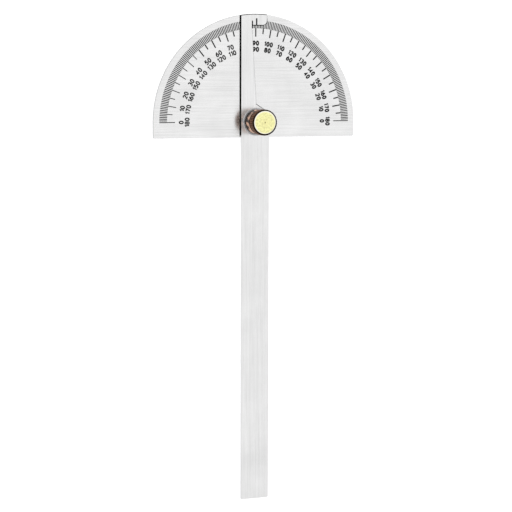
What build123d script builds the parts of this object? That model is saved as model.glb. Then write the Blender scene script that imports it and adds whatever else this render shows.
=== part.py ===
from build123d import *
import math
import os

# Protractor: a half-round dial plate with a swinging arm, clamped by a brass thumb nut.
# Millimetres. The origin is on the pivot axis, in the plane that the stud's head rests on.
# +Z points to the nut, +Y to the 90 degree mark, and the arm lies along -Y at rest.

# Dial plate
dial_radius = 43.2
dial_thickness = 1.0
base_depth = 6.3
dial_corner_radius = 0.5
sheet_edge_break = 0.12

# Arm
arm_width = 12.2
arm_left_of_pivot = 6.6
arm_thickness = 1.0
arm_below_base = 150.0
arm_tip_radius = 0.6
arm_running_gap = 0.03

# Reading window in the arm's upper end
tab_depth = 4.7
tab_inset = 0.9
tab_corner_radius = 2.0
bar_top_width = 4.8
bar_root_width = 6.7
shoulder_height = 7.2
shoulder_slope = 33.0
window_edge_break = 0.3
relief_slit_width = 0.5
relief_slit_depth = 2.0

# Pivot stud
stud_head_diameter = 9.0
stud_head_thickness = 1.0
stud_head_edge_radius = 0.35
stud_neck_side = 5.0
stud_neck_clearance = 0.05
stud_shoulder_diameter = 5.0
shoulder_below_arm_face = 0.1
thread_diameter = 4.0
thread_end_chamfer = 0.4
pivot_clearance = 0.05

# Flat washer
washer_diameter = 11.2
washer_thickness = 0.5
washer_bore_clearance = 0.15
washer_edge_break = 0.08

# Thumb nut
nut_collar_diameter = 10.0
nut_collar_height = 5.1
nut_collar_chamfer = 0.3
nut_groove_width = 0.4
nut_groove_depth = 0.3
nut_head_diameter = 10.4
nut_head_height = 4.2
nut_head_lower_chamfer = 0.3
nut_face_chamfer = 0.45
nut_end_wall = 2.0
nut_bore_clearance = 0.05
nut_bore_run_out = 0.8
nut_centre_mark_radius = 0.3
nut_centre_mark_depth = 0.25
knurl_pitch = 0.72
knurl_depth = 0.22

# Levels, from the rest plane up
dial_bottom = stud_head_thickness
dial_top = dial_bottom + dial_thickness
arm_bottom = dial_top + arm_running_gap
arm_top = arm_bottom + arm_thickness
washer_top = arm_top + washer_thickness
nut_groove_bottom = washer_top + nut_collar_height
nut_head_bottom = nut_groove_bottom + nut_groove_width
nut_top = nut_head_bottom + nut_head_height
nut_bore_end = nut_top - nut_end_wall
stud_top = nut_bore_end - nut_bore_run_out

# Places in the arm's outline
arm_left = -arm_left_of_pivot
arm_right = arm_left + arm_width
arm_tip = -base_depth - arm_below_base
tab_right = arm_right - tab_inset
tab_bottom = dial_radius - tab_depth
bar_top = arm_left + bar_top_width
bar_root = arm_left + bar_root_width
shoulder_foot = shoulder_height - (arm_right - bar_root) * math.tan(math.radians(shoulder_slope))


def height_on_rim(x):
    """Height above the pivot of the point on the dial's rim at this x."""
    return math.sqrt(dial_radius**2 - x**2)


def outline_edges(sheet):
    """Outer edges of a sheet's two flat faces."""
    flats = sheet.faces().filter_by(Axis.Z)
    return ShapeList(edge for flat in flats for edge in flat.outer_wire().edges())


# Dial plate: half disc on a short straight strip, with a square hole for the stud
with BuildPart() as dial_plate:
    with BuildSketch(Plane.XY.offset(dial_bottom)) as dial_outline:
        with BuildLine():
            rim = CenterArc((0, 0), dial_radius, 0, 180)
            Polyline(
                rim @ 1,
                (-dial_radius, -base_depth),
                (dial_radius, -base_depth),
                rim @ 0,
            )
        make_face()
        base_corners = dial_outline.vertices().group_by(Axis.Y)[0]
        fillet(base_corners, radius=dial_corner_radius)
        hole_side = stud_neck_side + 2 * stud_neck_clearance
        Rectangle(hole_side, hole_side, mode=Mode.SUBTRACT)
    extrude(amount=dial_thickness)
    chamfer(outline_edges(dial_plate), length=sheet_edge_break)
dial_plate.part.label = "dial_plate"

# Arm: blade with a pivot hole, and a window at its upper end between a bar and an index tab
with BuildPart() as arm:
    with BuildSketch(Plane.XY.offset(arm_bottom)) as arm_outline:
        with BuildLine():
            tab_arc = RadiusArc(
                (arm_left, height_on_rim(arm_left)),
                (tab_right, height_on_rim(tab_right)),
                dial_radius,
            )
            Polyline(
                tab_arc @ 1,
                (tab_right, tab_bottom),
                (bar_top, tab_bottom),
                (bar_root, shoulder_height),
                (arm_right, shoulder_foot),
                (arm_right, arm_tip),
                (arm_left, arm_tip),
                tab_arc @ 0,
            )
        make_face()
        tip_corners = arm_outline.vertices().group_by(Axis.Y)[0]
        fillet(tip_corners, radius=arm_tip_radius)
        tab_corner = arm_outline.vertices().sort_by_distance((tab_right, tab_bottom))[0]
        fillet(tab_corner, radius=tab_corner_radius)
        Circle(stud_shoulder_diameter / 2 + pivot_clearance, mode=Mode.SUBTRACT)
    extrude(amount=arm_thickness)
    window_edges = outline_edges(arm).filter_by_position(Axis.Y, 0, dial_radius)
    chamfer(window_edges, length=window_edge_break)
    blade_edges = outline_edges(arm).filter_by_position(Axis.Y, arm_tip, 0)
    chamfer(blade_edges, length=sheet_edge_break)
    with BuildSketch(Plane.XY.offset(arm_bottom)):
        with Locations((bar_top, tab_bottom + (relief_slit_depth - relief_slit_width / 2) / 2)):
            slit_length = relief_slit_depth + relief_slit_width / 2
            SlotOverall(slit_length, relief_slit_width, rotation=90)
    extrude(amount=arm_thickness, mode=Mode.SUBTRACT)
arm.part.label = "arm"

# Pivot stud: low head, square neck in the dial, round shoulder in the arm, shank in the nut
with BuildPart() as pivot_stud:
    with BuildSketch(Plane.XY):
        Circle(stud_head_diameter / 2)
    extrude(amount=stud_head_thickness)
    fillet(pivot_stud.edges().group_by(Axis.Z)[0], radius=stud_head_edge_radius)
    with BuildSketch(Plane.XY.offset(dial_bottom)):
        Rectangle(stud_neck_side, stud_neck_side)
    extrude(amount=dial_thickness)
    with BuildSketch(Plane.XY.offset(dial_top)):
        Circle(stud_shoulder_diameter / 2)
    extrude(amount=arm_top - dial_top - shoulder_below_arm_face)
    with BuildSketch(Plane.XY.offset(dial_top)):
        Circle(thread_diameter / 2)
    extrude(amount=stud_top - dial_top)
    chamfer(pivot_stud.edges().group_by(Axis.Z)[-1], length=thread_end_chamfer)
pivot_stud.part.label = "pivot_stud"

# Flat washer between the arm and the nut
with BuildPart() as flat_washer:
    with BuildSketch(Plane.XY.offset(arm_top)):
        Circle(washer_diameter / 2)
        Circle(thread_diameter / 2 + washer_bore_clearance, mode=Mode.SUBTRACT)
    extrude(amount=washer_thickness)
    washer_rims = flat_washer.edges().filter_by(GeomType.CIRCLE).group_by(SortBy.RADIUS)[-1]
    chamfer(washer_rims, length=washer_edge_break)
flat_washer.part.label = "flat_washer"

# Thumb nut: plain collar, relief groove and knurled head, turned in one piece round a blind bore
collar_radius = nut_collar_diameter / 2
head_radius = nut_head_diameter / 2
groove_radius = collar_radius - nut_groove_depth
bore_radius = thread_diameter / 2 + nut_bore_clearance
with BuildPart() as thumb_nut:
    with BuildSketch(Plane.XZ):
        with BuildLine():
            Polyline(
                (bore_radius, washer_top),
                (collar_radius - nut_collar_chamfer, washer_top),
                (collar_radius, washer_top + nut_collar_chamfer),
                (collar_radius, nut_groove_bottom),
                (groove_radius, nut_groove_bottom),
                (groove_radius, nut_head_bottom),
                (head_radius - nut_head_lower_chamfer, nut_head_bottom),
                (head_radius, nut_head_bottom + nut_head_lower_chamfer),
                (head_radius, nut_top - nut_face_chamfer),
                (head_radius - nut_face_chamfer, nut_top),
                (nut_centre_mark_radius, nut_top),
                (0, nut_top - nut_centre_mark_depth),
                (0, nut_bore_end),
                (bore_radius, nut_bore_end),
                close=True,
            )
        make_face()
    revolve(axis=Axis.Z)
    knurl_count = round(math.pi * nut_head_diameter / knurl_pitch)
    with BuildSketch(Plane.XY.offset(nut_head_bottom)):
        with PolarLocations(head_radius, knurl_count):
            RegularPolygon(knurl_depth, 4)
    extrude(amount=nut_head_height, mode=Mode.SUBTRACT)
thumb_nut.part.label = "thumb_nut"

os.makedirs("parts", exist_ok=True)
for piece in (dial_plate, arm, pivot_stud, flat_washer, thumb_nut):
    export_step(piece.part, f"parts/{piece.part.label}.step")
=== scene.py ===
"""Protractor: finishes for its steel and brass, its etched scale, and a plain studio.

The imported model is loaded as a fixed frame, in metres. The origin is on the pivot axis, in the
plane that the part rests on. +Z points to the thumb nut, +Y to the 90 degree mark, and the arm
lies along -Y. Each operator finishes one piece or makes one.
"""

import math

import bmesh
import bpy
from mathutils import Matrix, Vector


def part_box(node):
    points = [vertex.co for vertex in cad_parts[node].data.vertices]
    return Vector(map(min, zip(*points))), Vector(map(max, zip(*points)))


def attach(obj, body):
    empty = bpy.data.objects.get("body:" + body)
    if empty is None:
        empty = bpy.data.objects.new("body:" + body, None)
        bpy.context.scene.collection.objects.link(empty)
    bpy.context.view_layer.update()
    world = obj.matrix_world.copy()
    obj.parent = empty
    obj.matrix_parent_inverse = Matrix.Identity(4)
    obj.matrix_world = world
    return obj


bl_info = {
    "name": "Protractor",
    "version": (1, 0, 0),
    "blender": (4, 5, 0),
    "location": "View3D > Sidebar > Protractor",
    "description": "Finishes a half-round protractor with a swinging arm",
    "category": "Add Mesh",
}

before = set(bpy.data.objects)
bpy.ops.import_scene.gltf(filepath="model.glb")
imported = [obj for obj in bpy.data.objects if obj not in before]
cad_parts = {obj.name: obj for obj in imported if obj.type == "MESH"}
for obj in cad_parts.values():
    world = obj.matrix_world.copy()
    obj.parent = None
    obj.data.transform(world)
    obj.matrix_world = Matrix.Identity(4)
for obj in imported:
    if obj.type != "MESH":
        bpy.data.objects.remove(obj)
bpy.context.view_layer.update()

MM = 0.001

# Sizes of the part that its boxes don't give
NUT_HEAD = 4.2 * MM
NUT_GROOVE = 0.4 * MM
NUT_FACE_CHAMFER = 0.45 * MM
THREAD_PITCH = 0.7 * MM
TAB_BOTTOM = 38.5 * MM

# Small steps that keep faces out of one plane: the floor below the part, and crossing strokes
FLOOR_GAP = 0.02 * MM
STROKE_RISE = 0.002 * MM

LAST_READING = 180
MIDDLE_READING = 90

dial_low, dial_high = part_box("dial_plate")
arm_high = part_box("arm")[1]
washer_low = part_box("flat_washer")[0]
nut_low, nut_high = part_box("thumb_nut")


class DialScale(bpy.types.PropertyGroup):
    """Sizes of the etched scale on the dial plate."""

    ring_outer_radius: bpy.props.FloatProperty(
        name="Ring outer radius",
        description="Where every graduation starts, from the pivot",
        default=40.6 * MM,
        unit="LENGTH",
    )
    ring_inner_radius: bpy.props.FloatProperty(
        name="Ring inner radius",
        description="Where the one degree graduations end",
        default=37.42 * MM,
        unit="LENGTH",
    )
    five_degree_radius: bpy.props.FloatProperty(
        name="Five degree radius",
        description="Where the five degree graduations end",
        default=35.25 * MM,
        unit="LENGTH",
    )
    ten_degree_radius: bpy.props.FloatProperty(
        name="Ten degree radius",
        description="Where the ten degree graduations end",
        default=34.1 * MM,
        unit="LENGTH",
    )
    fine_width: bpy.props.FloatProperty(
        name="Fine line width",
        description="Width of a one degree graduation",
        default=0.38 * MM,
        unit="LENGTH",
    )
    bold_width: bpy.props.FloatProperty(
        name="Bold line width",
        description="Width of a five or ten degree graduation inside the ring",
        default=0.52 * MM,
        unit="LENGTH",
    )
    light_width: bpy.props.FloatProperty(
        name="Light line width",
        description="Width of such a graduation at the lightly etched left end, and at 180",
        default=0.34 * MM,
        unit="LENGTH",
    )
    light_end: bpy.props.IntProperty(
        name="Light end",
        description="Reading up to which the etching is lighter",
        default=45,
    )
    outer_row_radius: bpy.props.FloatProperty(
        name="Outer row radius",
        description="Middle of the numerals that read from the left",
        default=31.5 * MM,
        unit="LENGTH",
    )
    inner_row_radius: bpy.props.FloatProperty(
        name="Inner row radius",
        description="Middle of the numerals that read from the right",
        default=29.03 * MM,
        unit="LENGTH",
    )
    numeral_height: bpy.props.FloatProperty(
        name="Numeral height",
        description="Height of one digit",
        default=2.12 * MM,
        unit="LENGTH",
    )
    light_stroke: bpy.props.FloatProperty(
        name="Light stroke",
        description="Width of a digit's strokes left of the 90 mark",
        default=0.49 * MM,
        unit="LENGTH",
    )
    bold_stroke: bpy.props.FloatProperty(
        name="Bold stroke",
        description="Width of a digit's strokes from the 90 mark on",
        default=0.56 * MM,
        unit="LENGTH",
    )
    digit_width: bpy.props.FloatProperty(
        name="Digit width",
        description="Width of every digit but the 1",
        default=1.42 * MM,
        unit="LENGTH",
    )
    digit_gap: bpy.props.FloatProperty(
        name="Digit gap",
        description="Space between two digits",
        default=0.05 * MM,
        unit="LENGTH",
    )
    narrow_digit: bpy.props.FloatProperty(
        name="Narrow digit",
        description="Width of the 1",
        default=0.92 * MM,
        unit="LENGTH",
    )
    index_width: bpy.props.FloatProperty(
        name="Index line width",
        description="Width of the reading line on the arm's tab",
        default=0.62 * MM,
        unit="LENGTH",
    )
    index_start: bpy.props.FloatProperty(
        name="Index line start",
        description="Lower end of the reading line, from the pivot",
        default=38.82 * MM,
        unit="LENGTH",
    )
    index_end: bpy.props.FloatProperty(
        name="Index line end",
        description="Upper end of the reading line, from the pivot",
        default=41.4 * MM,
        unit="LENGTH",
    )
    mark_proud: bpy.props.FloatProperty(
        name="Mark height",
        description="How far the black filling stands above the steel",
        default=0.012 * MM,
        unit="LENGTH",
    )
    mark_sunk: bpy.props.FloatProperty(
        name="Mark depth",
        description="How far the black filling goes into the steel",
        default=0.03 * MM,
        unit="LENGTH",
    )


class MetalFinish(bpy.types.PropertyGroup):
    """Colours and surface of the metals and of the black filling."""

    dial_colour: bpy.props.FloatVectorProperty(
        name="Dial steel",
        description="Colour of the dial plate's face",
        default=(0.79, 0.79, 0.79),
        subtype="COLOR",
        size=3,
    )
    arm_colour: bpy.props.FloatVectorProperty(
        name="Arm steel",
        description="Colour of the arm's face",
        default=(0.8, 0.8, 0.8),
        subtype="COLOR",
        size=3,
    )
    dial_edge_colour: bpy.props.FloatVectorProperty(
        name="Dial edge",
        description="Colour of the dial plate's broken edges",
        default=(0.602, 0.602, 0.609),
        subtype="COLOR",
        size=3,
    )
    arm_edge_colour: bpy.props.FloatVectorProperty(
        name="Arm edge",
        description="Colour of the arm's bright edges",
        default=(0.86, 0.86, 0.87),
        subtype="COLOR",
        size=3,
    )
    # Painted shade: the black of the arm's edges where the arm lies over the dial
    burnt_colour: bpy.props.FloatVectorProperty(
        name="Burnt edge",
        description="Colour of the scale on the arm's edges above the dial's base",
        default=(0.01, 0.01, 0.01),
        subtype="COLOR",
        size=3,
    )
    stud_colour: bpy.props.FloatVectorProperty(
        name="Stud steel",
        description="Colour of the pivot stud",
        default=(0.66, 0.66, 0.67),
        subtype="COLOR",
        size=3,
    )
    washer_colour: bpy.props.FloatVectorProperty(
        name="Washer steel",
        description="Colour of the flat washer",
        default=(0.6, 0.6, 0.61),
        subtype="COLOR",
        size=3,
    )
    brass_face: bpy.props.FloatVectorProperty(
        name="Faced brass",
        description="Colour of the nut's clean turned face",
        default=(1.0, 0.95, 0.47),
        subtype="COLOR",
        size=3,
    )
    # Painted highlight: the pale ring just inside the nut face's chamfer
    brass_rim: bpy.props.FloatVectorProperty(
        name="Worn brass",
        description="Colour of the bright ring that wear leaves round the nut's face",
        default=(0.98, 0.95, 0.82),
        subtype="COLOR",
        size=3,
    )
    brass_collar: bpy.props.FloatVectorProperty(
        name="Collar brass",
        description="Colour of the nut's plain collar",
        default=(0.8, 0.5, 0.36),
        subtype="COLOR",
        size=3,
    )
    # Tarnished brass, darkened further by painted shade on the knurled side
    brass_knurl: bpy.props.FloatVectorProperty(
        name="Knurled brass",
        description="Colour of the nut's knurled side",
        default=(0.17, 0.062, 0.018),
        subtype="COLOR",
        size=3,
    )
    # Tarnish in the knurl, and painted shade at the collar's ends, on the chamfers and round the
    # face's rim
    brass_tarnish: bpy.props.FloatVectorProperty(
        name="Tarnish",
        description="Colour of the tarnish in the knurl, on the chamfers and at the collar's ends",
        default=(0.012, 0.006, 0.003),
        subtype="COLOR",
        size=3,
    )
    filling_colour: bpy.props.FloatVectorProperty(
        name="Black filling",
        description="Colour of the filling in the etched marks",
        default=(0.012, 0.012, 0.012),
        subtype="COLOR",
        size=3,
    )
    dial_roughness: bpy.props.FloatProperty(
        name="Dial roughness",
        description="Roughness of the dial plate's brushed face",
        default=0.2,
        subtype="FACTOR",
        min=0.0,
        max=1.0,
    )
    arm_roughness: bpy.props.FloatProperty(
        name="Arm roughness",
        description="Roughness of the arm's brushed face",
        default=0.3,
        subtype="FACTOR",
        min=0.0,
        max=1.0,
    )
    edge_roughness: bpy.props.FloatProperty(
        name="Edge roughness",
        description="Roughness of the sheets' broken edges",
        default=0.12,
        subtype="FACTOR",
        min=0.0,
        max=1.0,
    )
    stud_roughness: bpy.props.FloatProperty(
        name="Stud roughness",
        description="Roughness of the pivot stud",
        default=0.3,
        subtype="FACTOR",
        min=0.0,
        max=1.0,
    )
    washer_roughness: bpy.props.FloatProperty(
        name="Washer roughness",
        description="Roughness of the flat washer",
        default=0.42,
        subtype="FACTOR",
        min=0.0,
        max=1.0,
    )


class StudioStage(bpy.types.PropertyGroup):
    """Floor, tent, lamp and camera."""

    floor_size: bpy.props.FloatProperty(
        name="Floor size",
        description="Side of the square floor",
        default=6.0,
        unit="LENGTH",
    )
    floor_colour: bpy.props.FloatVectorProperty(
        name="Floor",
        description="Colour of the floor",
        default=(0.86, 0.86, 0.86),
        subtype="COLOR",
        size=3,
    )
    floor_glow: bpy.props.FloatProperty(
        name="Floor glow",
        description="Light that the floor adds where the camera or a reflection sees it",
        default=0.5,
    )
    tent_strength: bpy.props.FloatProperty(
        name="Tent strength",
        description="Brightness of the white tent round the object",
        default=1.05,
    )
    tent_slope: bpy.props.FloatProperty(
        name="Tent slope",
        description="How much brighter the tent is behind the object than in front of it",
        default=0.15,
    )
    surround_strength: bpy.props.FloatProperty(
        name="Surround strength",
        description="Brightness of the dimmer room that shows below the tent",
        default=0.5,
    )
    surround_top: bpy.props.FloatProperty(
        name="Surround top",
        description="Height angle up to which only the room shows",
        default=math.radians(5),
        subtype="ANGLE",
    )
    tent_foot: bpy.props.FloatProperty(
        name="Tent foot",
        description="Height angle from which the tent is at full brightness",
        default=math.radians(35),
        subtype="ANGLE",
    )
    softbox_place: bpy.props.FloatVectorProperty(
        name="Softbox place",
        description="Middle of the softbox",
        default=(-0.7, 0.9, 0.6),
        subtype="XYZ",
        unit="LENGTH",
        size=3,
    )
    softbox_size: bpy.props.FloatProperty(
        name="Softbox size",
        description="Side of the square softbox",
        default=0.6,
        unit="LENGTH",
    )
    softbox_power: bpy.props.FloatProperty(
        name="Softbox power",
        description="Power of the softbox in watts",
        default=2.0,
    )
    camera_place: bpy.props.FloatVectorProperty(
        name="Camera place",
        description="Where the camera stands",
        default=(-222.6 * MM, 24.4 * MM, 612.4 * MM),
        subtype="XYZ",
        unit="LENGTH",
        size=3,
    )
    camera_turn: bpy.props.FloatVectorProperty(
        name="Camera turn",
        description="Turns of the camera about X, Y and Z, made in the order Z, X, Y",
        default=(math.radians(-6.951), math.radians(-20.063), math.radians(0.141)),
        subtype="EULER",
        size=3,
    )
    camera_lens: bpy.props.FloatProperty(
        name="Lens",
        description="Focal length in millimetres on a frame 36 mm wide",
        default=112.5,
    )


class Nodes:
    """A node tree, with short calls for the nodes that the finishes and the tent use."""

    def __init__(self, tree):
        self.tree = tree

    def add(self, kind):
        return self.tree.nodes.new(kind)

    def join(self, source, target):
        self.tree.links.new(source, target)

    def coordinate(self, name):
        return self.add("ShaderNodeTexCoord").outputs[name]

    def parts_of(self, vector):
        """The X, Y and Z parts of a point or a direction."""
        node = self.add("ShaderNodeSeparateXYZ")
        self.join(vector, node.inputs[0])
        return node.outputs

    def calculate(self, operation, first, second=0.0, third=0.0):
        """A math node on values or on other nodes' results."""
        node = self.add("ShaderNodeMath")
        node.operation = operation
        for socket, value in zip(node.inputs, (first, second, third)):
            if isinstance(value, (int, float)):
                socket.default_value = value
            else:
                self.join(value, socket)
        return node.outputs[0]

    def weigh(self, first, second, share):
        """Adds two values up, by the share of the first."""
        rest = self.calculate("MULTIPLY", second, 1.0 - share)
        return self.calculate("MULTIPLY_ADD", first, share, rest)

    def fade(self, factor, first, second):
        """Goes from the first value to the second as the factor goes from 0 to 1."""
        change = self.calculate("SUBTRACT", second, first)
        return self.calculate("MULTIPLY_ADD", change, factor, first)

    def spread(self, value, low, high, new_low, new_high, smooth=False):
        """Maps a range of values to another, held at both ends."""
        node = self.add("ShaderNodeMapRange")
        node.interpolation_type = "SMOOTHSTEP" if smooth else "LINEAR"
        self.join(value, node.inputs["Value"])
        ends = ("From Min", "From Max", "To Min", "To Max")
        for name, end in zip(ends, (low, high, new_low, new_high)):
            node.inputs[name].default_value = end
        return node.outputs[0]

    def rise(self, value, low, high, smooth=False):
        """Goes from 0 to 1 over a range of values."""
        return self.spread(value, low, high, 0.0, 1.0, smooth)

    def fall(self, value, low, high, smooth=False):
        """Goes from 1 to 0 over a range of values."""
        return self.spread(value, low, high, 1.0, 0.0, smooth)


class Finish(Nodes):
    """A material's nodes, round its shader."""

    def __init__(self, name):
        self.material = bpy.data.materials.new(name)
        self.material.use_nodes = True
        super().__init__(self.material.node_tree)
        self.shader = self.tree.nodes["Principled BSDF"]

    def set(self, **values):
        """Sets the shader's own sockets, named in lower case with underscores."""
        for name, value in values.items():
            socket = self.shader.inputs[name.replace("_", " ").title().replace("Ior", "IOR")]
            socket.default_value = value

    def feed(self, source, socket_name):
        """Joins a value to one of the shader's sockets."""
        self.join(source, self.shader.inputs[socket_name])

    def point(self):
        """A spot's place on its piece, which moves with the piece."""
        return self.coordinate("Object")

    def normal(self):
        """The three parts of the way that a face looks, which turns with the piece."""
        return self.parts_of(self.coordinate("Normal"))

    def radius(self, point):
        """Distance from the pivot axis."""
        x, y, _ = self.parts_of(point)
        squares = self.calculate("MULTIPLY_ADD", x, x, self.calculate("MULTIPLY", y, y))
        return self.calculate("SQRT", squares)

    def noise(self, point, scale, detail=2.0, roughness=0.55):
        """Noise round 0.5, with its own scale along each axis in features per metre."""
        mapping = self.add("ShaderNodeMapping")
        mapping.inputs["Scale"].default_value = scale
        self.join(point, mapping.inputs["Vector"])
        node = self.add("ShaderNodeTexNoise")
        node.inputs["Scale"].default_value = 1.0
        node.inputs["Detail"].default_value = detail
        node.inputs["Roughness"].default_value = roughness
        self.join(mapping.outputs[0], node.inputs["Vector"])
        return node.outputs["Fac"]

    def brush(self, across):
        """Spreads reflections across the brushing, which turns with the piece."""
        node = self.add("ShaderNodeVectorTransform")
        node.vector_type = "VECTOR"
        node.convert_from = "OBJECT"
        node.convert_to = "WORLD"
        node.inputs[0].default_value = across
        self.feed(node.outputs[0], "Tangent")

    def blend(self, factor, first, second):
        """Mixes two colours, each a plain colour or another node's result."""
        node = self.add("ShaderNodeMix")
        node.data_type = "RGBA"
        self.join(factor, node.inputs["Factor"])
        # The mix node has a set of sockets for each kind of value, and these are the colours'
        colour_sockets, mixed = node.inputs[6:8], node.outputs[2]
        for socket, colour in zip(colour_sockets, (first, second)):
            if isinstance(colour, bpy.types.NodeSocket):
                self.join(colour, socket)
            else:
                socket.default_value = (*colour, 1.0)
        return mixed

    def bump(self, height, strength, distance):
        """Feeds the shader's normal from a height."""
        node = self.add("ShaderNodeBump")
        node.inputs["Strength"].default_value = strength
        node.inputs["Distance"].default_value = distance
        self.join(height, node.inputs["Height"])
        self.feed(node.outputs["Normal"], "Normal")


def shade(colour, factor):
    """The same colour, lighter or darker."""
    return tuple(min(1.0, channel * factor) for channel in colour)


# A face's normal has an upward part of 1 on a flat, 0.71 on a 45 degree edge and 0 on a wall.
# The finishes below tell these faces apart by it.


def burnt_edges(finish, point):
    """Where the arm's edges above the dial's base are black with painted shade.

    The shade stands in for the dark gap between the arm and the dial. Its walls are black there,
    and so are broken edges that look left, up or down the arm. Those that look right are bright.
    """
    right, ahead, up = finish.normal()
    y = finish.parts_of(point)[1]
    down_weight, end_weight, corner_weight = 2.5, 1.2, 1.5
    endward = finish.calculate("MULTIPLY", ahead, -down_weight)
    endward = finish.calculate("MAXIMUM", endward, ahead)
    facing = finish.calculate("MULTIPLY", endward, end_weight)
    facing = finish.calculate("SUBTRACT", facing, right)
    # The tab's rounded corner gets the painted shade too, up to the middle of the tab's right side
    corner_starts = finish.rise(y, TAB_BOTTOM - 0.7 * MM, TAB_BOTTOM - 0.3 * MM)
    corner_ends = finish.fall(y, TAB_BOTTOM + 2.5 * MM, TAB_BOTTOM + 3.3 * MM)
    corner = finish.calculate("MULTIPLY", corner_starts, corner_ends)
    facing = finish.calculate("MULTIPLY_ADD", corner, corner_weight, facing)
    broken = finish.rise(facing, -0.3, 0.4)
    wall = finish.fall(finish.calculate("ABSOLUTE", up), 0.35, 0.6)
    above_base = finish.rise(y, dial_low.y, dial_low.y + 1.0 * MM)
    return finish.calculate("MULTIPLY", finish.calculate("MAXIMUM", wall, broken), above_base)


def brushed_sheet(name, colour, edge, roughness, looks, along_x):
    """Stainless sheet brushed one way, with long faint streaks, hair lines and soft smudges."""
    finish = Finish(name)
    finish.set(metallic=1.0, anisotropic=0.8, specular_ior_level=0.0)
    finish.brush((0.05, 1.0, 0.05) if along_x else (1.0, 0.05, 0.05))
    point = finish.point()

    def drawn_out(along, across, **kind):
        """Noise drawn out along the brushing."""
        scale = (along, across, across) if along_x else (across, along, across)
        return finish.noise(point, scale, **kind)

    streaks = drawn_out(28.0, 1500.0, detail=3.0, roughness=0.7)
    hairs = drawn_out(160.0, 14000.0)
    smudges = finish.noise(point, (90.0, 90.0, 90.0), detail=4.0)
    tone = finish.rise(finish.weigh(streaks, smudges, share=0.6), 0.35, 0.65)
    face = finish.blend(tone, shade(colour, 0.91), shade(colour, 1.07))
    on_edge = finish.fall(finish.calculate("ABSOLUTE", finish.normal()[2]), 0.8, 0.95)
    # On the arm, painted shade blackens the edges above the dial's base and takes their metal away
    if not along_x:
        edge_shade = finish.calculate("MULTIPLY", burnt_edges(finish, point), on_edge)
        edge = finish.blend(edge_shade, edge, looks.burnt_colour)
        finish.feed(finish.calculate("SUBTRACT", 1.0, edge_shade), "Metallic")
    finish.feed(finish.blend(on_edge, face, edge), "Base Color")
    grain = finish.spread(hairs, 0.3, 0.7, roughness - 0.04, roughness + 0.04)
    finish.feed(finish.fade(on_edge, grain, looks.edge_roughness), "Roughness")
    height = finish.calculate("MULTIPLY_ADD", streaks, 0.5, hairs)
    finish.bump(height, strength=0.25, distance=0.004 * MM)
    return finish.material


def turned_steel(name, colour, roughness, threaded=False):
    """Plain turned steel, with a cut thread above the arm whose roots get painted shade, or with
    fine rings about the axis.
    """
    finish = Finish(name)
    finish.set(metallic=1.0)
    point = finish.point()
    stain = finish.noise(point, (420.0, 420.0, 420.0), detail=4.0)
    tone = finish.rise(stain, 0.35, 0.7)
    steel = finish.blend(tone, shade(colour, 0.86), shade(colour, 1.04))
    grain = finish.spread(stain, 0.3, 0.7, roughness - 0.05, roughness + 0.07)
    finish.feed(grain, "Roughness")
    if threaded:
        x, y, z = finish.parts_of(point)
        angle = finish.calculate("ARCTAN2", y, x)
        turns = finish.calculate("MULTIPLY_ADD", z, math.tau / THREAD_PITCH, angle)
        on_shank = finish.rise(z, washer_low.z - 0.02 * MM, washer_low.z)
        thread = finish.calculate("MULTIPLY", finish.calculate("SINE", turns), on_shank)
        # Painted shade in the thread's roots
        root_shade = finish.fall(thread, -0.9, 0.1)
        steel = finish.blend(root_shade, steel, shade(colour, 0.2))
        finish.bump(thread, strength=0.8, distance=0.12 * MM)
    else:
        ring_pitch = 0.11 * MM
        turns = finish.calculate("MULTIPLY", finish.radius(point), math.tau / ring_pitch)
        finish.bump(finish.calculate("SINE", turns), strength=0.2, distance=0.004 * MM)
    finish.feed(steel, "Base Color")
    return finish.material


def nut_side(finish, looks, point, mottle, on_head):
    """Colour of the nut's collar, copper with painted reflections in bright and near-black
    patches, and of its knurled head with painted glints.
    """
    reflection_patches = finish.noise(point, (420.0, 420.0, 160.0), detail=3.0, roughness=0.6)
    bare = finish.rise(reflection_patches, 0.49, 0.56)
    copper, brass = looks.brass_collar, looks.brass_knurl
    # Painted reflections: random lighter and darker bands on the copper, and near-black patches
    collar = finish.blend(mottle, shade(copper, 0.7), shade(copper, 1.3))
    collar = finish.blend(bare, shade(copper, 0.08), collar)
    # Painted glints: the knurl's brown lightened and darkened at random
    knurl = finish.blend(mottle, shade(brass, 0.6), shade(brass, 1.5))
    return finish.blend(on_head, collar, knurl)


def nut_tarnish(finish, point, radius, up, on_face, on_head):
    """Where the nut is dark: tarnish in the knurl's grooves, and painted shade at the collar's
    ends, on the chamfers and round the face's rim.
    """
    x, y, z = finish.parts_of(point)
    collar_top = nut_high.z - NUT_HEAD - NUT_GROOVE
    # Painted shade at the collar's foot on the washer and at its neck under the head
    foot = finish.fall(z, nut_low.z + 1.0 * MM, nut_low.z + 1.5 * MM, smooth=True)
    neck = finish.rise(z, collar_top - 0.9 * MM, collar_top - 0.2 * MM, smooth=True)
    collar_end_shade = finish.calculate("MAXIMUM", foot, neck)
    in_knurl = finish.fall(radius, nut_high.x - 0.2 * MM, nut_high.x - 0.03 * MM)
    # The knurl's grooves hold tarnish, and the chamfers get painted shade
    on_chamfers = finish.rise(up, 0.4, 0.6)
    side = finish.fade(on_head, collar_end_shade, finish.calculate("MAXIMUM", in_knurl, on_chamfers))
    side = finish.calculate("MULTIPLY", side, finish.calculate("SUBTRACT", 1.0, on_face))
    # The rim's painted shade is widest at the lower right
    lower_right = finish.calculate("SUBTRACT", x, y)
    width = finish.spread(lower_right, -3.0 * MM, 6.0 * MM, 0.12 * MM, 0.32 * MM)
    reach = finish.calculate("ADD", radius, width)
    face_edge = nut_high.x - NUT_FACE_CHAMFER
    rim = finish.rise(reach, face_edge - 0.03 * MM, face_edge + 0.03 * MM)
    return finish.calculate("MULTIPLY_ADD", rim, on_face, side)


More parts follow.
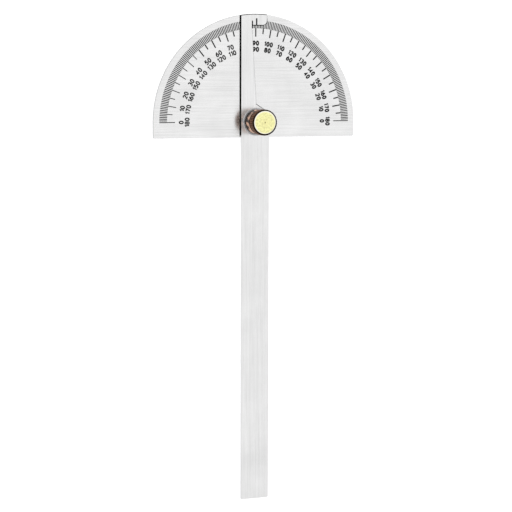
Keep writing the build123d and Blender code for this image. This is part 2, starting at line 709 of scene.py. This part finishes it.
def nut_face(finish, looks, point, radius, rings):
    """Colour of the nut's face: turning rings and flecks, inside a pale ring of painted highlight.
    """
    brass = looks.brass_face
    in_middle = finish.fall(radius, 0.5 * MM, 3.6 * MM, smooth=True)
    face = finish.blend(in_middle, shade(brass, 1.03), shade(brass, 0.97))
    ring_tone = finish.spread(rings, -1.0, 1.0, 0.0, 0.2)
    face = finish.blend(ring_tone, face, shade(brass, 0.72))
    flecks = finish.noise(point, (1300.0, 1300.0, 300.0), detail=3.0, roughness=0.7)
    fleck_tone = finish.spread(flecks, 0.42, 0.6, 0.0, 0.6)
    face = finish.blend(fleck_tone, face, shade(brass, 0.62))
    face_edge = nut_high.x - NUT_FACE_CHAMFER
    # Painted highlight: a paler ring just inside the chamfer
    rim_highlight = finish.rise(radius, face_edge - 0.65 * MM, face_edge - 0.4 * MM, smooth=True)
    return finish.blend(rim_highlight, face, looks.brass_rim)


def turned_brass(name, looks):
    """Brass with a clean faced top, a copper coloured collar and tarnish in the knurl's grooves.

    Painted light: shade at the collar's ends, on the chamfers and round the face, a highlight
    ring on the face, and reflections and glints on the sides.
    """
    finish = Finish(name)
    finish.set(specular_ior_level=0.0)
    point = finish.point()
    radius = finish.radius(point)
    up = finish.normal()[2]
    on_face = finish.rise(up, 0.72, 0.8)
    head_start = nut_high.z - NUT_HEAD
    z = finish.parts_of(point)[2]
    on_head = finish.rise(z, head_start - 0.02 * MM, head_start + 0.02 * MM)

    blotches = finish.noise(point, (900.0, 900.0, 700.0), detail=4.0, roughness=0.65)
    turning = finish.noise(point, (60.0, 60.0, 9000.0))
    mottle = finish.rise(finish.weigh(blotches, turning, share=0.7), 0.42, 0.58)
    ring_pitch = 0.42 * MM
    wobble = finish.calculate("MULTIPLY", blotches, 3.0)
    rings = finish.calculate("MULTIPLY_ADD", radius, math.tau / ring_pitch, wobble)
    rings = finish.calculate("SINE", rings)

    side = nut_side(finish, looks, point, mottle, on_head)
    face = nut_face(finish, looks, point, radius, rings)
    tarnish_and_shade = nut_tarnish(finish, point, radius, up, on_face, on_head)
    bare = finish.blend(on_face, side, face)
    finish.feed(finish.blend(tarnish_and_shade, bare, looks.brass_tarnish), "Base Color")
    finish.feed(finish.calculate("SUBTRACT", 1.0, tarnish_and_shade), "Metallic")
    side_roughness = finish.spread(blotches, 0.3, 0.7, 0.34, 0.5)
    face_roughness = 0.28
    finish.feed(finish.fade(on_face, side_roughness, face_roughness), "Roughness")
    height = finish.calculate("MULTIPLY_ADD", rings, on_face, turning)
    finish.bump(height, strength=0.2, distance=0.006 * MM)
    return finish.material


def black_filling(name, colour):
    """Matt black filling, a little uneven as etched marks are."""
    finish = Finish(name)
    finish.set(metallic=0.0, roughness=0.8, specular_ior_level=0.1)
    grain = finish.noise(finish.point(), (9000.0, 9000.0, 9000.0))
    tone = finish.rise(grain, 0.35, 0.7)
    finish.feed(finish.blend(tone, colour, shade(colour, 2.2)), "Base Color")
    finish.bump(grain, strength=0.3, distance=0.004 * MM)
    return finish.material


def glowing_paper(name, colour, glow):
    """Matt paper, with light of its own where the camera or a reflection sees it."""
    finish = Finish(name)
    finish.set(base_color=(*colour, 1.0), emission_color=(1.0, 1.0, 1.0, 1.0))
    finish.set(roughness=0.9, specular_ior_level=0.1)
    rays = finish.add("ShaderNodeLightPath").outputs
    seen = finish.calculate("MAXIMUM", rays["Is Camera Ray"], rays["Is Glossy Ray"])
    seen = finish.calculate("MAXIMUM", seen, rays["Is Transmission Ray"])
    finish.feed(finish.calculate("MULTIPLY", seen, glow), "Emission Strength")
    return finish.material


def dress(node, material):
    """Gives a CAD node its finish. Its mesh isn't touched."""
    node.data.materials.clear()
    node.data.materials.append(material)


def radial(degrees):
    """Unit vector from the pivot to a reading, counted from the left end of the dial."""
    angle = math.radians(degrees)
    return Vector((-math.cos(angle), math.sin(angle), 0.0))


def object_from(mesh, name, material):
    """Turns a built mesh into an object of the scene."""
    data = bpy.data.meshes.new(name)
    mesh.to_mesh(data)
    mesh.free()
    data.materials.append(material)
    made = bpy.data.objects.new(name, data)
    bpy.context.scene.collection.objects.link(made)
    return made


def piece_from(mesh, name, body, material):
    """Turns a built mesh into a piece that rides on a body."""
    bmesh.ops.recalc_face_normals(mesh, faces=mesh.faces)
    piece = object_from(mesh, name, material)
    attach(piece, body)


def arc(middle_x, middle_y, half_width, half_height, start, end):
    """Points on part of an ellipse, between two angles in degrees."""
    degrees_per_step = 15
    steps = math.ceil(abs(end - start) / degrees_per_step)
    points = []
    for step in range(steps + 1):
        angle = math.radians(start + (end - start) * step / steps)
        x = middle_x + half_width * math.cos(angle)
        points.append((x, middle_y + half_height * math.sin(angle)))
    return points


# Middle lines of each digit's strokes, as an engraver cuts them, in a box from -1 to 1 both ways
DIGIT_LINES = {
    "0": [arc(0.0, 0.0, 1.0, 1.0, 0, 360)],
    "1": [[(-1.0, 0.5), (1.0, 1.0), (1.0, -1.0)]],
    "2": [arc(0.0, 0.45, 0.95, 0.55, 160, -25) + [(-0.95, -1.0), (1.0, -1.0)]],
    "3": [arc(-0.1, 0.48, 0.9, 0.52, 140, -90), arc(-0.1, -0.48, 1.05, 0.52, 90, -140)],
    "4": [[(0.5, -1.0), (0.5, 1.0), (-1.0, -0.35), (1.0, -0.35)]],
    "5": [[(0.85, 1.0), (-0.7, 1.0), (-0.85, 0.15)] + arc(-0.1, -0.38, 1.05, 0.62, 110, -140)],
    "6": [
        arc(0.0, -0.42, 1.0, 0.58, 0, 360),
        [(0.55, 1.0), (-0.3, 0.6), (-0.85, 0.1), (-1.0, -0.4)],
    ],
    "7": [[(-1.0, 1.0), (1.0, 1.0), (-0.25, -1.0)]],
    "8": [arc(0.0, 0.5, 0.85, 0.5, 0, 360), arc(0.0, -0.47, 1.0, 0.53, 0, 360)],
    "9": [
        arc(0.0, 0.42, 1.0, 0.58, 0, 360),
        [(-0.55, -1.0), (0.3, -0.6), (0.85, -0.1), (1.0, 0.4)],
    ],
}


def add_band(mesh, points, width, low, high):
    """Adds a closed flat band along a line, or round it where the line's ends meet."""
    same_place = 0.001 * MM
    ring = (points[0] - points[-1]).length < same_place
    if ring:
        points = points[:-1]
    count = len(points)
    rails = []
    for here, point in enumerate(points):
        ways = []
        if ring or here > 0:
            ways.append((point - points[here - 1]).normalized())
        if ring or here < count - 1:
            ways.append((points[(here + 1) % count] - point).normalized())
        along = sum(ways, Vector()).normalized()
        # A bend's corner reaches out further than half the width, but a sharp one makes no spike
        least_share = 0.6
        reach = width / 2 / max(least_share, along.dot(ways[0]))
        aside = Vector((-along.y, along.x, 0.0)) * reach
        left, right = point - aside, point + aside
        corners = ((left, low), (right, low), (right, high), (left, high))
        rails.append([mesh.verts.new((corner.x, corner.y, level)) for corner, level in corners])
    for here in range(count if ring else count - 1):
        first, second = rails[here], rails[(here + 1) % count]
        for side in range(len(first)):
            after = (side + 1) % len(first)
            mesh.faces.new((first[side], second[side], second[after], first[after]))
    if not ring:
        mesh.faces.new(rails[0])
        mesh.faces.new(reversed(rails[-1]))


def marking(context):
    """The black filling, made once and shared by every mark."""
    name = "etched_black"
    found = bpy.data.materials.get(name)
    return found or black_filling(name, context.scene.protractor_metal.filling_colour)


class PROTRACTOR_OT_dial_plate(bpy.types.Operator):
    """Finish the dial plate as steel brushed along its base"""

    bl_idname = "protractor.dial_plate"
    bl_label = "Dial plate"

    def execute(self, context):
        looks = context.scene.protractor_metal
        steel = brushed_sheet(
            "dial_brushed_steel",
            looks.dial_colour,
            looks.dial_edge_colour,
            looks.dial_roughness,
            looks,
            along_x=True,
        )
        dress(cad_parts["dial_plate"], steel)
        return {"FINISHED"}


class PROTRACTOR_OT_graduations(bpy.types.Operator):
    """Etch the degree graduations on the dial plate"""

    bl_idname = "protractor.graduations"
    bl_label = "Graduations"

    def execute(self, context):
        scale = context.scene.protractor_scale
        low = dial_high.z - scale.mark_sunk
        high = dial_high.z + scale.mark_proud
        mesh = bmesh.new()
        for degree in range(LAST_READING + 1):
            way = radial(degree)
            inner_end, outer_end = way * scale.ring_inner_radius, way * scale.ring_outer_radius
            add_band(mesh, (inner_end, outer_end), scale.fine_width, low, high)
            if degree % 5 == 0:
                start = scale.five_degree_radius if degree % 10 else scale.ten_degree_radius
                light = degree <= scale.light_end or degree == LAST_READING
                width = scale.light_width if light else scale.bold_width
                add_band(mesh, (way * start, inner_end), width, low, high)
        piece_from(mesh, "dial_graduations", "dial", marking(context))
        return {"FINISHED"}


class PROTRACTOR_OT_numerals(bpy.types.Operator):
    """Etch both rows of numerals on the dial plate"""

    bl_idname = "protractor.numerals"
    bl_label = "Numerals"

    def execute(self, context):
        scale = context.scene.protractor_scale
        mesh = bmesh.new()
        for reading in range(0, LAST_READING + 1, 10):
            light = reading < MIDDLE_READING
            stroke = scale.light_stroke if light else scale.bold_stroke
            from_right = LAST_READING - reading
            self.write(mesh, reading, reading, scale.outer_row_radius, stroke, scale)
            self.write(mesh, from_right, reading, scale.inner_row_radius, stroke, scale)
        piece_from(mesh, "dial_numerals", "dial", marking(context))
        return {"FINISHED"}

    def write(self, mesh, number, reading, row_radius, stroke, scale):
        """Cuts one number's digits side by side, centred on its reading."""
        up = radial(reading)
        right = Vector((up.y, -up.x, 0.0))
        digits = str(number)
        widths = [scale.narrow_digit if digit == "1" else scale.digit_width for digit in digits]
        left = -(sum(widths) + scale.digit_gap * (len(digits) - 1)) / 2
        half_height = (scale.numeral_height - stroke) / 2
        for digit, width in zip(digits, widths):
            middle, half_width = left + width / 2, (width - stroke) / 2
            high = dial_high.z + scale.mark_proud
            for line in DIGIT_LINES[digit]:
                points = []
                for x, y in line:
                    aside = right * (middle + x * half_width)
                    points.append(up * (row_radius + y * half_height) + aside)
                add_band(mesh, points, stroke, dial_high.z - scale.mark_sunk, high)
                high += STROKE_RISE
            left += width + scale.digit_gap


class PROTRACTOR_OT_arm(bpy.types.Operator):
    """Finish the arm as steel brushed along its length"""

    bl_idname = "protractor.arm"
    bl_label = "Arm"

    def execute(self, context):
        looks = context.scene.protractor_metal
        steel = brushed_sheet(
            "arm_brushed_steel",
            looks.arm_colour,
            looks.arm_edge_colour,
            looks.arm_roughness,
            looks,
            along_x=False,
        )
        dress(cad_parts["arm"], steel)
        return {"FINISHED"}


class PROTRACTOR_OT_index_line(bpy.types.Operator):
    """Cut the reading line into the arm's tab"""

    bl_idname = "protractor.index_line"
    bl_label = "Index line"

    def execute(self, context):
        scale = context.scene.protractor_scale
        mesh = bmesh.new()
        start = Vector((0.0, scale.index_start, 0.0))
        end = Vector((0.0, scale.index_end, 0.0))
        low = arm_high.z - scale.mark_sunk
        high = arm_high.z + scale.mark_proud
        add_band(mesh, (start, end), scale.index_width, low, high)
        piece_from(mesh, "arm_index_line", "arm", marking(context))
        return {"FINISHED"}


class PROTRACTOR_OT_stud_and_washer(bpy.types.Operator):
    """Finish the pivot stud and the flat washer as turned steel"""

    bl_idname = "protractor.stud_and_washer"
    bl_label = "Stud and washer"

    def execute(self, context):
        looks = context.scene.protractor_metal
        steel = turned_steel(
            "stud_turned_steel",
            looks.stud_colour,
            looks.stud_roughness,
            threaded=True,
        )
        dress(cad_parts["pivot_stud"], steel)
        steel = turned_steel("washer_steel", looks.washer_colour, looks.washer_roughness)
        dress(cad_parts["flat_washer"], steel)
        return {"FINISHED"}


class PROTRACTOR_OT_thumb_nut(bpy.types.Operator):
    """Finish the thumb nut as turned and knurled brass"""

    bl_idname = "protractor.thumb_nut"
    bl_label = "Thumb nut"

    def execute(self, context):
        looks = context.scene.protractor_metal
        dress(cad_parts["thumb_nut"], turned_brass("nut_turned_brass", looks))
        return {"FINISHED"}


class PROTRACTOR_OT_stage(bpy.types.Operator):
    """Set up the floor, the tent, the softbox and the camera"""

    bl_idname = "protractor.stage"
    bl_label = "Stage"

    def execute(self, context):
        stage = context.scene.protractor_stage
        self.lay_floor(stage)
        self.pitch_tent(context, stage)
        self.hang_softbox(context, stage)
        self.place_camera(context, stage)
        context.scene.view_settings.view_transform = "Standard"
        return {"FINISHED"}

    def lay_floor(self, stage):
        mesh = bmesh.new()
        half = stage.floor_size / 2
        corners = ((-half, -half), (half, -half), (half, half), (-half, half))
        mesh.faces.new([mesh.verts.new((x, y, -FLOOR_GAP)) for x, y in corners])
        paper = glowing_paper("floor_paper", stage.floor_colour, stage.floor_glow)
        floor = object_from(mesh, "floor", paper)

    def pitch_tent(self, context, stage):
        world = bpy.data.worlds.new("studio_tent")
        world.use_nodes = True
        context.scene.world = world
        tent = Nodes(world.node_tree)
        _, ahead, up = tent.parts_of(tent.coordinate("Generated"))
        heights = math.sin(stage.surround_top), math.sin(stage.tent_foot)
        strengths = stage.surround_strength, stage.tent_strength
        wall = tent.spread(up, *heights, *strengths, smooth=True)
        slope = tent.calculate("MULTIPLY_ADD", ahead, stage.tent_slope, 1.0)
        light = world.node_tree.nodes["Background"].inputs
        light["Color"].default_value = (1.0, 1.0, 1.0, 1.0)
        tent.join(tent.calculate("MULTIPLY", slope, wall), light["Strength"])

    def hang_softbox(self, context, stage):
        lamp = bpy.data.lights.new("softbox", "AREA")
        lamp.shape = "SQUARE"
        lamp.size = stage.softbox_size
        lamp.energy = stage.softbox_power
        holder = bpy.data.objects.new("softbox", lamp)
        context.scene.collection.objects.link(holder)
        place = Vector(stage.softbox_place)
        turn = place.to_track_quat("Z", "Y").to_matrix().to_4x4()
        holder.matrix_world = Matrix.Translation(place) @ turn
        # Kept out of reflections, where it would be a hard white patch
        holder.visible_glossy = False

    def place_camera(self, context, stage):
        view = bpy.data.cameras.new("camera")
        view.lens = stage.camera_lens
        view.sensor_width = 36.0
        view.clip_start = 10 * MM
        holder = bpy.data.objects.new("camera", view)
        context.scene.collection.objects.link(holder)
        holder.rotation_mode = "ZXY"
        holder.location = stage.camera_place
        holder.rotation_euler = stage.camera_turn
        context.scene.camera = holder


class PROTRACTOR_PT_panel(bpy.types.Panel):
    """Lists the steps and the settings in the 3D view's sidebar"""

    bl_idname = "PROTRACTOR_PT_panel"
    bl_label = "Protractor"
    bl_space_type = "VIEW_3D"
    bl_region_type = "UI"
    bl_category = "Protractor"

    def draw(self, context):
        for step in STEPS:
            self.layout.operator(step.bl_idname)
        for group in SETTINGS:
            box = self.layout.box()
            for name in SETTINGS[group].__annotations__:
                box.prop(getattr(context.scene, group), name)


STEPS = (
    PROTRACTOR_OT_dial_plate,
    PROTRACTOR_OT_graduations,
    PROTRACTOR_OT_numerals,
    PROTRACTOR_OT_arm,
    PROTRACTOR_OT_index_line,
    PROTRACTOR_OT_stud_and_washer,
    PROTRACTOR_OT_thumb_nut,
    PROTRACTOR_OT_stage,
)
SETTINGS = {
    "protractor_scale": DialScale,
    "protractor_metal": MetalFinish,
    "protractor_stage": StudioStage,
}


def register():
    for group, settings in SETTINGS.items():
        bpy.utils.register_class(settings)
        setattr(bpy.types.Scene, group, bpy.props.PointerProperty(type=settings))
    for step in STEPS:
        bpy.utils.register_class(step)
    bpy.utils.register_class(PROTRACTOR_PT_panel)


def unregister():
    bpy.utils.unregister_class(PROTRACTOR_PT_panel)
    for step in reversed(STEPS):
        bpy.utils.unregister_class(step)
    for group, settings in SETTINGS.items():
        delattr(bpy.types.Scene, group)
        bpy.utils.unregister_class(settings)


def main():
    register()
    for step in STEPS:
        category, name = step.bl_idname.split(".")
        getattr(getattr(bpy.ops, category), name)()


if __name__ == "__main__":
    main()
